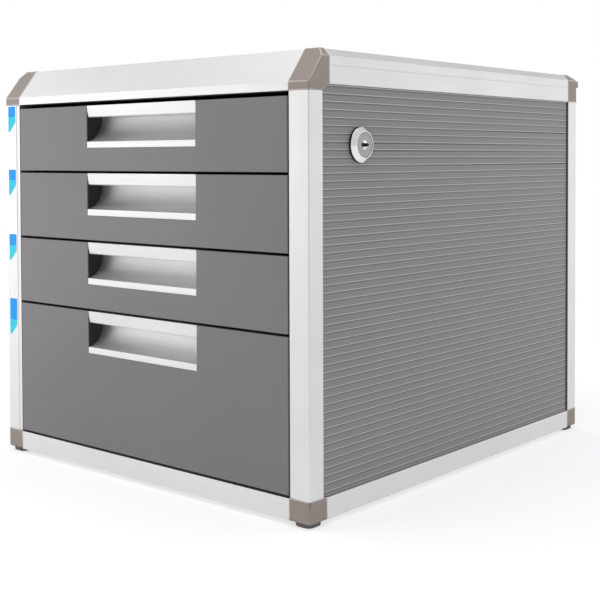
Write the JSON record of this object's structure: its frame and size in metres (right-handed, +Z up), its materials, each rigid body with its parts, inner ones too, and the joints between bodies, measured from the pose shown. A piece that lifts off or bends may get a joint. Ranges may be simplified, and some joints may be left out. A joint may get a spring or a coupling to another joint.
{
  "type": "desktop file drawer",
  "caption": "Desktop file cabinet with an aluminium frame, ribbed grey sides, sliding drawers with scooped aluminium handles and a side cam lock that blocks them all.",
  "frame": {"origin": "floor under the middle of the cabinet", "axes": "+Z up, drawers open towards -Y, the lock is on the +X side"},
  "size_m": [0.3053, 0.3448, 0.2907],
  "materials": {
    "frame_aluminium": "satin anodised",
    "handle_aluminium": "satin anodised",
    "cap_plastic": "fine moulded texture",
    "panel_plastic": "ribbed, matte",
    "front_plastic": "fine moulded texture",
    "box_plastic": "matte",
    "runner_plastic": "matte",
    "lock_chrome": "polished",
    "inner_steel": "zinc plated",
    "foot_rubber": "matte"
  },
  "bodies": {
    "frame": {"post_front_left": "frame_aluminium", "bottom_cap_front_left": "cap_plastic", "top_cap_front_left": "cap_plastic", "post_front_right": "frame_aluminium", "bottom_cap_front_right": "cap_plastic", "top_cap_front_right": "cap_plastic", "post_rear_left": "frame_aluminium", "bottom_cap_rear_left": "cap_plastic", "top_cap_rear_left": "cap_plastic", "post_rear_right": "frame_aluminium", "bottom_cap_rear_right": "cap_plastic", "top_cap_rear_right": "cap_plastic", "bottom_rail_front": "frame_aluminium", "top_rail_front": "frame_aluminium", "bottom_rail_rear": "frame_aluminium", "top_rail_rear": "frame_aluminium", "bottom_rail_left": "frame_aluminium", "top_rail_left": "frame_aluminium", "bottom_rail_right": "frame_aluminium", "top_rail_right": "frame_aluminium", "side_panel_left": "panel_plastic", "runners_left": "runner_plastic", "side_panel_right": "panel_plastic", "runners_right": "runner_plastic", "top_panel": "panel_plastic", "base_panel": "panel_plastic", "back_panel": "panel_plastic", "rubber_feet": "foot_rubber", "lock_housing": "lock_chrome", "lock_nut": "inner_steel", "lock_bar_straps": "inner_steel"},
    "drawer_1": {"drawer_1_box": "box_plastic", "drawer_1_front": "front_plastic", "drawer_1_handle": "handle_aluminium", "drawer_1_glides": "runner_plastic", "drawer_1_strike": "inner_steel", "drawer_1_screws": "inner_steel"},
    "drawer_2": {"drawer_2_box": "box_plastic", "drawer_2_front": "front_plastic", "drawer_2_handle": "handle_aluminium", "drawer_2_glides": "runner_plastic", "drawer_2_strike": "inner_steel", "drawer_2_screws": "inner_steel"},
    "drawer_3": {"drawer_3_box": "box_plastic", "drawer_3_front": "front_plastic", "drawer_3_handle": "handle_aluminium", "drawer_3_glides": "runner_plastic", "drawer_3_strike": "inner_steel", "drawer_3_screws": "inner_steel"},
    "drawer_4": {"drawer_4_box": "box_plastic", "drawer_4_front": "front_plastic", "drawer_4_handle": "handle_aluminium", "drawer_4_glides": "runner_plastic", "drawer_4_strike": "inner_steel", "drawer_4_screws": "inner_steel"},
    "lock_plug": {"lock_plug": "lock_chrome", "lock_crank": "inner_steel"},
    "lock_bar": {"lock_bar": "inner_steel"}
  },
  "joints": [
    {"name": "drawer_1_slide", "type": "slide", "parent": "frame", "child": "drawer_1", "axis": [0, -1, 0], "range_m": [0, 0.225]},
    {"name": "drawer_2_slide", "type": "slide", "parent": "frame", "child": "drawer_2", "axis": [0, -1, 0], "range_m": [0, 0.225]},
    {"name": "drawer_3_slide", "type": "slide", "parent": "frame", "child": "drawer_3", "axis": [0, -1, 0], "range_m": [0, 0.225]},
    {"name": "drawer_4_slide", "type": "slide", "parent": "frame", "child": "drawer_4", "axis": [0, -1, 0], "range_m": [0, 0.225]},
    {"name": "lock_turn", "type": "hinge", "parent": "frame", "child": "lock_plug", "pos_m": [0.1541, -0.12085, 0.2317], "axis": [1, 0, 0], "range_deg": [0, 90]},
    {"name": "lock_bar_lift", "type": "slide", "parent": "frame", "child": "lock_bar", "axis": [0, 0, 1], "range_m": [0, 0.00848]}
  ],
  "couplings": [
    {"joint": "lock_turn", "follows": "lock_bar_lift", "rad_per_m": 185.12}
  ]
}
